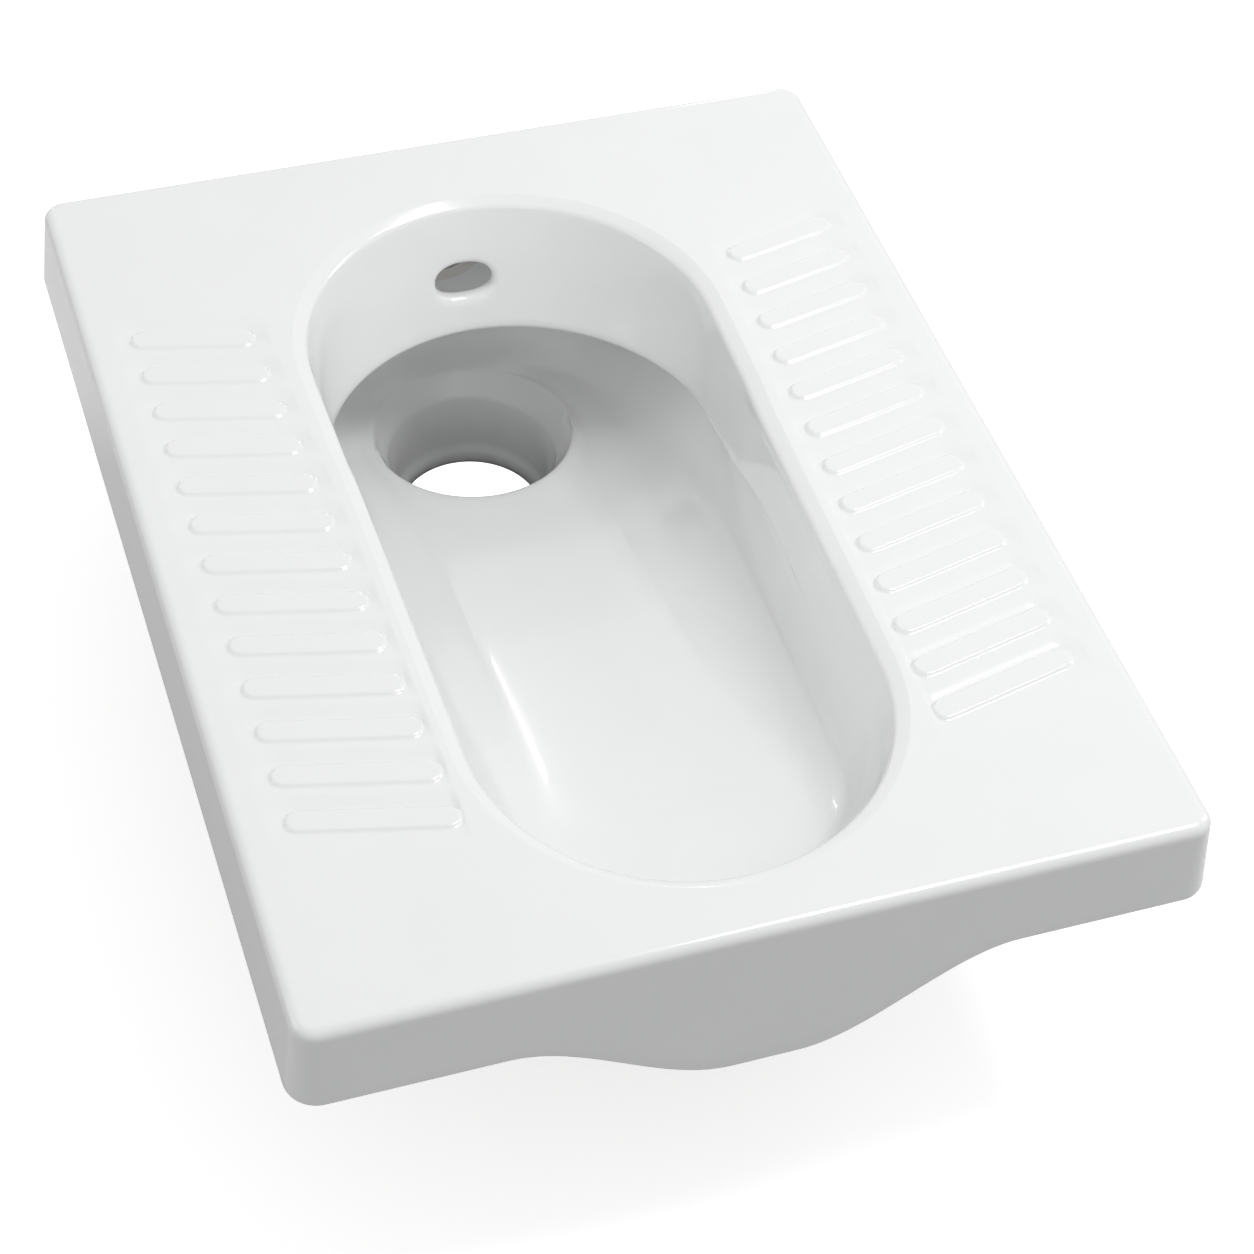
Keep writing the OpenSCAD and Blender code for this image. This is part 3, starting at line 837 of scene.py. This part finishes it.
def apron_depth(i):
    """Depth of the apron's lower edge at a station."""
    base, away = EDGE[i]
    if away.y < -0.99:
        within = (BELLY_FLAT / 2 + BELLY_RUN - abs(base.x)) / BELLY_RUN
        return APRON_DROP + BELLY_DROP * smooth(within)
    if away.y > 0.99 and abs(base.x) < NOTCH_R:
        return min(APRON_DROP, INLET_DEPTH - math.sqrt(NOTCH_R ** 2 - base.x ** 2))
    return APRON_DROP


def apron_path(low):
    """Section of the apron, as distances in from its outside and depths."""
    level = low - APRON_EDGE_R
    path = [(0, mix(DECK_T, level, k / 8)) for k in range(9)]
    for k in range(1, 13):
        a = math.pi * k / 12
        inset = APRON_EDGE_R * (1 - math.cos(a))
        if k > 6:
            inset += APRON_T - 2 * APRON_EDGE_R
        path.append((inset, level + APRON_EDGE_R * math.sin(a)))
    return path + [(APRON_T, mix(level, DECK_T, k / 6)) for k in range(1, 7)]


def build_apron():
    bm = bmesh.new()
    rows = []
    for i in range(len(EDGE)):
        rows.append([edge_point(i, edge_reach(depth) - inset, depth)
                     for inset, depth in apron_path(apron_depth(i))])
    rings = [first_ring(bm, len(EDGE), lambda i: rows[i][0])]
    for k in range(1, len(rows[0])):
        rings.append(next_ring(bm, rings[-1], lambda i: rows[i][k]))
    last = next_ring(bm, rings[-1], lambda i: rows[i][0])
    weld_rings(bm, rings[0], last)
    return bm


finished("apron_with_belly", build_apron(), GLAZE, "glaze", "apron")

# ------------------------------------------------------------------ horns

def turned(profile, centre, axis, steps=96):
    """A closed profile turned once round an axis."""
    bm = bmesh.new()
    verts = [bm.verts.new(p) for p in profile]
    edges = [bm.edges.new((v, verts[(i + 1) % len(verts)])) for i, v in enumerate(verts)]
    bmesh.ops.spin(bm, geom=verts + edges, cent=centre, axis=axis, angle=2 * math.pi, steps=steps,
                   use_merge=True, use_duplicate=False)
    bmesh.ops.remove_doubles(bm, verts=bm.verts, dist=WELD)
    return bm


def build_outlet():
    top = -THROAT_DEPTH
    foot = -PAN_H
    half = [(THROAT_R, top), (THROAT_R - 1.6, top - 9), (THROAT_R - 3, top - 18),
            (BORE_R + 3.2, top - 26), (BORE_R + 2.6, top - 29), (BORE_R + 1.2, top - 31.5),
            (BORE_R + 0.3, top - 34), (BORE_R, foot + 4), (BORE_R + 0.6, foot + 1.2),
            (BORE_R + 2, foot), (SPIGOT_R - 2, foot), (SPIGOT_R - 0.6, foot + 0.6),
            (SPIGOT_R, foot + 2), (SPIGOT_R, foot + 33), (SPIGOT_R + 1.5, top - 4), (NECK_R, top)]
    return turned([(r, OUTLET_Y, z) for r, z in half], (0, OUTLET_Y, 0), (0, 0, 1))


def build_inlet():
    bore, rear, inner = INLET_R, HALF_L, SHELL_REAR - 4
    wide = bore + INLET_WALL
    half = [(bore, inner), (bore, rear - 2), (bore + 0.6, rear - 0.6), (bore + 2, rear),
            (wide - 2, rear), (wide - 0.6, rear - 0.6), (wide, rear - 2), (wide, inner)]
    return turned([(q, y, -INLET_DEPTH) for q, y in half], (0, 0, -INLET_DEPTH), (0, 1, 0))


finished("outlet_horn_turned", build_outlet(), HORN, "bare_china", "outlet_horn",
         sharp=SHARP_TURNED)
finished("inlet_horn_turned", build_inlet(), BARE, "bare_china", "inlet_horn",
         sharp=SHARP_TURNED)

# ------------------------------------------------------------------ studio

FLOOR_Z = -0.0005
# Under the spigot the floor glows white to the camera, painted light where the spigot's shadow
# falls, and is near black to all other light, painted shade inside the drain.
PAINTED_DRAIN_SPOT = (0.050, 0.052)             # soft edge of the patch of floor under the spigot
UNSEEN, UNSEEN_DRAIN_SHADE = (0.28, 0.28, 0.28, 1), (0.03, 0.03, 0.03, 1)
PAPER = (0.8, 0.8, 0.8, 1)
ROOM_LIGHT = 0.6                        # how bright the world, which looks white, lights things

# Name, place, the point that it faces, width and height, watts.
SOFTBOXES = [
    ("key_softbox", (0.8, -0.3, 2.0), (0, -0.15, 0.1), (0.7, 0.7), 14),
    ("right_softbox", (1.6, -0.1, 1.0), (0, -0.15, 0.1), (0.35, 0.9), 3.2),
    ("left_softbox", (-1.6, 0.1, 0.9), (0, -0.15, 0.1), (0.9, 0.9), 2.4),
    ("front_softbox", (-0.62, -1.85, 1.95), (0, -0.15, 0.1), (0.7, 0.7), 1.2),
    ("rear_left_strip", (-0.48, 1.75, 0.6), (0, 0, 0.1), (0.025, 0.3), 0.25),
    ("rear_right_strip", (0.72, 1.65, 0.8), (0, 0, 0.1), (0.035, 0.55), 0.7),
]


def softbox(name, place, target, size, power):
    lamp = bpy.data.lights.new(name, "AREA")
    lamp.shape = "RECTANGLE"
    lamp.size, lamp.size_y = size
    lamp.energy = power
    thing = bpy.data.objects.new(name, lamp)
    thing.location = place
    thing.rotation_euler = (Vector(target) - Vector(place)).to_track_quat("-Z", "Y").to_euler()
    bpy.context.scene.collection.objects.link(thing)


def rays(finish):
    """Three signals: 1 for rays from the camera, for mirrored rays, and for rays through glass."""
    return [finish.node("ShaderNodeLightPath", {}, out=out) for out in (0, 3, 6)]


def floor_paper():
    """Pale to the camera and in mirrored rays, greyer for the light that it gives the apron.

    The patch under the spigot glows white to the camera, painted light in the spigot's shadow, and
    is dark to all other light, painted shade inside the drain; the whole floor is clear from
    below."""
    paper = Finish(bpy.data.materials.new("floor_paper"))
    camera_ray, glossy_ray, clear_ray = rays(paper)
    spot = paper.node("ShaderNodeTexCoord", {}, out=3)
    away = paper.node("ShaderNodeVectorMath", {"operation": "LENGTH"}, spot, out=1)
    # under marks the patch under the spigot where light and shade are painted: a white glow to the
    # camera, near black to other rays.
    under = 1 - away.between(*PAINTED_DRAIN_SPOT)
    mirrored = (glossy_ray + clear_ray) * (1 - under)
    seen = camera_ray + mirrored
    colour = paper.blend(seen, paper.blend(under, UNSEEN, UNSEEN_DRAIN_SHADE), PAPER)
    matt = paper.node("ShaderNodeBsdfDiffuse", {}, Color=colour)
    # The extra 0.9 under the spigot is painted light that turns the spigot's shadow white to the
    # camera.
    shown = camera_ray * (0.58 + 0.9 * under) + mirrored * 0.05
    glow = paper.node("ShaderNodeEmission", {}, Color=(1, 1, 1, 1), Strength=shown)
    above = paper.node("ShaderNodeAddShader", {}, matt, glow)
    clear = paper.node("ShaderNodeBsdfTransparent", {})
    from_below = paper.node("ShaderNodeNewGeometry", {}, out=6)
    surface = paper.node("ShaderNodeMixShader", {}, from_below, above, clear)
    paper.node("ShaderNodeOutputMaterial", {}, Surface=surface)
    return paper.owner


def add_floor():
    bm = bmesh.new()
    bmesh.ops.create_grid(bm, x_segments=1, y_segments=1, size=8)
    bmesh.ops.translate(bm, vec=(0, 0, FLOOR_Z), verts=bm.verts)
    mesh = bpy.data.meshes.new("floor")
    bm.to_mesh(mesh)
    bm.free()
    mesh.materials.append(floor_paper())
    floor = bpy.data.objects.new("floor", mesh)
    bpy.context.scene.collection.objects.link(floor)


def add_world():
    world = bpy.data.worlds.new("studio")
    bpy.context.scene.world = world
    air = Finish(world)
    camera_ray, glossy_ray, clear_ray = rays(air)
    strength = ROOM_LIGHT + (1 - ROOM_LIGHT) * (camera_ray + glossy_ray + clear_ray)
    back = air.node("ShaderNodeBackground", {}, Color=(1, 1, 1, 1), Strength=strength)
    air.node("ShaderNodeOutputWorld", {}, Surface=back)


add_floor()
add_world()
for box in SOFTBOXES:
    softbox(*box)

# ------------------------------------------------------------------ camera

EYE = (-0.3736, -1.2444, 1.2989)
BACK = Vector((-0.2513, -0.6341, 0.7312)).normalized()      # from the view's middle to the eye
ROLL = math.radians(4.611)
LENS, SHIFT = 88.7, (-0.018, 0.0015)


def add_camera():
    data = bpy.data.cameras.new("camera")
    data.sensor_width = 36
    data.lens = LENS
    data.shift_x, data.shift_y = SHIFT
    data.clip_end = 100
    thing = bpy.data.objects.new("camera", data)
    right = Vector((-BACK.y, BACK.x, 0)).normalized()
    up = BACK.cross(right)
    tilted_right = right * math.cos(ROLL) + up * math.sin(ROLL)
    tilted_up = up * math.cos(ROLL) - right * math.sin(ROLL)
    turn = Matrix((tilted_right, tilted_up, BACK)).transposed()
    thing.matrix_world = Matrix.Translation(EYE) @ turn.to_4x4()
    bpy.context.scene.collection.objects.link(thing)
    bpy.context.scene.camera = thing


add_camera()
bpy.context.scene.view_settings.view_transform = "Standard"
